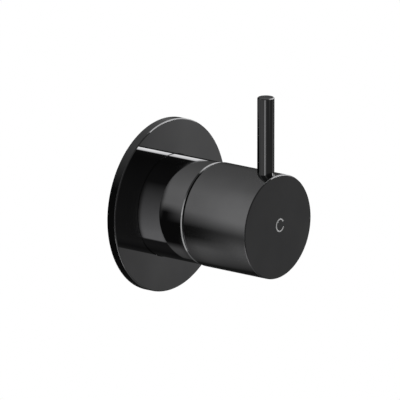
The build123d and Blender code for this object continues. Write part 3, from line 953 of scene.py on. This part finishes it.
class VALVE_OT_stage(bpy.types.Operator):
    """Camera, white surround, lamps, floor and the light tent that the metal mirrors"""

    bl_idname = "valve.stage"
    bl_label = "Stage"

    def execute(self, context):
        scene = context.scene
        scene.view_settings.view_transform = "Standard"
        self.camera(scene)
        self.world(scene)
        self.lamps(scene)
        self.floor(scene)
        self.tent(scene)
        return {"FINISHED"}

    def camera(self, scene):
        """Camera at the photograph's angle, with the lens that gives its scale."""
        studio = scene.valve_studio
        back = heading(studio.azimuth, studio.elevation)
        right = Vector((0, 0, 1)).cross(back).normalized()
        up = back.cross(right)
        place = right * studio.aim_right + up * studio.aim_up + back * studio.distance
        camera = bpy.data.objects.new("camera", bpy.data.cameras.new("camera"))
        turn = Matrix((right, up, back)).transposed().to_4x4()
        camera.matrix_world = Matrix.Translation(place) @ turn
        share = studio.scale / MM * studio.distance / studio.width
        camera.data.lens = camera.data.sensor_width * share
        scene.collection.objects.link(camera)
        scene.camera = camera

    def world(self, scene):
        """White for the camera, mirrors and glass, and a plain fill for everything else."""
        world = bpy.data.worlds.new("white_surround")
        world.use_nodes = True
        scene.world = world
        nodes, links = world.node_tree.nodes, world.node_tree.links
        white = nodes["Background"].inputs
        white["Color"].default_value = (1, 1, 1, 1)
        path = nodes.new("ShaderNodeLightPath")
        level = white["Strength"]
        for ray in ("Is Camera Ray", "Is Glossy Ray", "Is Transmission Ray"):
            most = nodes.new("ShaderNodeMath")
            most.operation = "MAXIMUM"
            most.inputs[1].default_value = scene.valve_studio.fill
            links.new(path.outputs[ray], most.inputs[0])
            links.new(most.outputs[0], level)
            level = most.inputs[1]

    def lamps(self, scene):
        """Soft key from the upper right and a weaker fill from the left, for what isn't mirror."""
        studio = scene.valve_studio
        for name, azimuth, elevation, share, size in (
            ("key_lamp", 40.0, 50.0, 1.0, 0.9),
            ("fill_lamp", -80.0, 35.0, 0.4, 1.2),
            ("back_lamp", 170.0, 30.0, 0.5, 1.0),
        ):
            lamp = bpy.data.lights.new(name, "AREA")
            lamp.energy = studio.key_power * share
            lamp.size = size
            towards = heading(math.radians(azimuth), math.radians(elevation))
            holder = bpy.data.objects.new(name, lamp)
            holder.location = towards * studio.lamp_distance
            holder.rotation_mode = "QUATERNION"
            holder.rotation_quaternion = towards.to_track_quat("Z", "Y")
            holder.visible_glossy = False
            holder.visible_camera = False
            scene.collection.objects.link(holder)

    def floor(self, scene):
        """Pale disc far below; a grid of radius by angle, flat, that can't be seen from below."""
        studio = scene.valve_studio
        rows, columns = 3, 96
        ring = np.linspace(1, 0, rows) * studio.floor_radius
        points = np.stack((np.full(rows, -studio.floor_drop), ring), axis=1)
        floor = self.turned_prop(scene, "floor", points, columns)
        s = Shader("pale_floor")
        cloud = s.noise(6.0)
        s.set(
            Base_Color=s.blend(s.spread(cloud, 0.0, 1.0), (0.88, 0.88, 0.88, 1), (0.92, 0.92, 0.92, 1)),
            Roughness=0.8,
        )
        clear = s.made("ShaderNodeBsdfTransparent", 0)
        below = s.made("ShaderNodeNewGeometry", "Backfacing")
        mix = s.made("ShaderNodeMixShader", 0, {0: below, 1: s.surface.outputs[0], 2: clear})
        s.put(s.nodes["Material Output"].inputs["Surface"], mix)
        floor.data.materials.append(s.material)

    def tent(self, scene):
        """Sphere round the valve whose panels only the metal sees.

        A point of it is radius times sine and cosine of its height angle, turned about the
        vertical. Its panels go by two angles of its direction: the one from the valve's axis and
        the one round it. A panel covers what the fades of its four edges leave, multiplied.
        """
        studio = scene.valve_studio
        rows, columns = 33, 64
        height = np.radians(np.linspace(-90, 90, rows))
        points = studio.tent_radius * np.stack((np.sin(height), np.cos(height)), axis=1)
        points[[0, -1], 1] = 0
        tent = self.turned_prop(scene, "light_tent", points, columns)
        for ray in ("camera", "diffuse", "shadow", "volume_scatter"):
            setattr(tent, "visible_" + ray, False)
        s = Shader("light_tent")
        aim = s.made("ShaderNodeVectorMath", 0, {0: s.place}, operation="NORMALIZE")
        middle, camera_side, lean_reach = math.radians(120), math.radians(161), 0.81
        right, over, lean = (
            s.share_of(aim, (math.cos(turn), 0, math.sin(turn)))
            for turn in (middle, middle + math.pi / 2, camera_side)
        )
        off_axis = s.sums(s.share_of(aim, (0, -1, 0)), 0.0, "ARCCOSINE")
        round_axis = s.sums(s.sums(over, right, "ARCTAN2"), middle)
        far_side = s.spread(lean, 1.0, 0.0, -lean_reach, lean_reach)
        level = studio.tent_level
        for panel in TENT_PANELS.values():
            place = off_axis
            if panel.lag:
                place = s.sums(place, s.sums(far_side, -math.radians(panel.lag), "MULTIPLY"))
            cover = s.fade(place, panel.near)
            cover = s.sums(cover, s.fade(place, panel.far, True), "MULTIPLY")
            cover = s.sums(cover, s.fade(round_axis, panel.first), "MULTIPLY")
            cover = s.sums(cover, s.fade(round_axis, panel.last, True), "MULTIPLY")
            level = s.between(cover, level, panel.level)
        glow = s.made("ShaderNodeEmission", 0, {"Strength": level})
        s.put(s.nodes["Material Output"].inputs["Surface"], glow)
        s.nodes.remove(s.surface)
        tent.data.materials.append(s.material)

    def turned_prop(self, scene, name, points, columns):
        """Thing of the stage, turned about the vertical from its profile."""
        vertices, _, index, pole = turned_grid(points, points, columns, on_upright_axis)
        mesh = bpy.data.meshes.new(name)
        mesh.from_pydata(vertices, [], strips(index, pole, False))
        prop = bpy.data.objects.new(name, mesh)
        scene.collection.objects.link(prop)
        return prop


PIECES = (
    VALVE_OT_wall_plate,
    VALVE_OT_sleeve,
    VALVE_OT_handle,
    VALVE_OT_cold_mark,
    VALVE_OT_lever_pin,
    VALVE_OT_brass,
    VALVE_OT_headwork_body,
    VALVE_OT_seals,
    VALVE_OT_discs,
    VALVE_OT_plastics,
    VALVE_OT_steel,
    VALVE_OT_stage,
)

GROUPS = (
    ("valve_trim", TrimSizes),
    ("valve_headwork", HeadworkSizes),
    ("valve_finishes", Finishes),
    ("valve_studio", Studio),
)


class VALVE_PT_sidebar(bpy.types.Panel):
    """Pieces of the valve and their sizes"""

    bl_idname = "VALVE_PT_sidebar"
    bl_label = "Concealed stop valve"
    bl_space_type = "VIEW_3D"
    bl_region_type = "UI"
    bl_category = "Stop valve"

    def draw(self, context):
        for operator in PIECES:
            self.layout.operator(operator.bl_idname)
        for name, group in GROUPS:
            box = self.layout.box()
            for setting in group.__annotations__:
                box.prop(getattr(context.scene, name), setting)


CLASSES = (*(group for _, group in GROUPS), *PIECES, VALVE_PT_sidebar)


def register():
    """Register every class and put the groups on the scene."""
    for kind in CLASSES:
        bpy.utils.register_class(kind)
    for name, group in GROUPS:
        setattr(bpy.types.Scene, name, PointerProperty(type=group))


def unregister():
    """Take everything off again."""
    for name, _ in GROUPS:
        delattr(bpy.types.Scene, name)
    for kind in reversed(CLASSES):
        bpy.utils.unregister_class(kind)


def main():
    """Build every piece and the stage."""
    register()
    for operator in PIECES:
        getattr(bpy.ops.valve, operator.bl_idname.split(".")[1])()


if __name__ == "__main__":
    main()
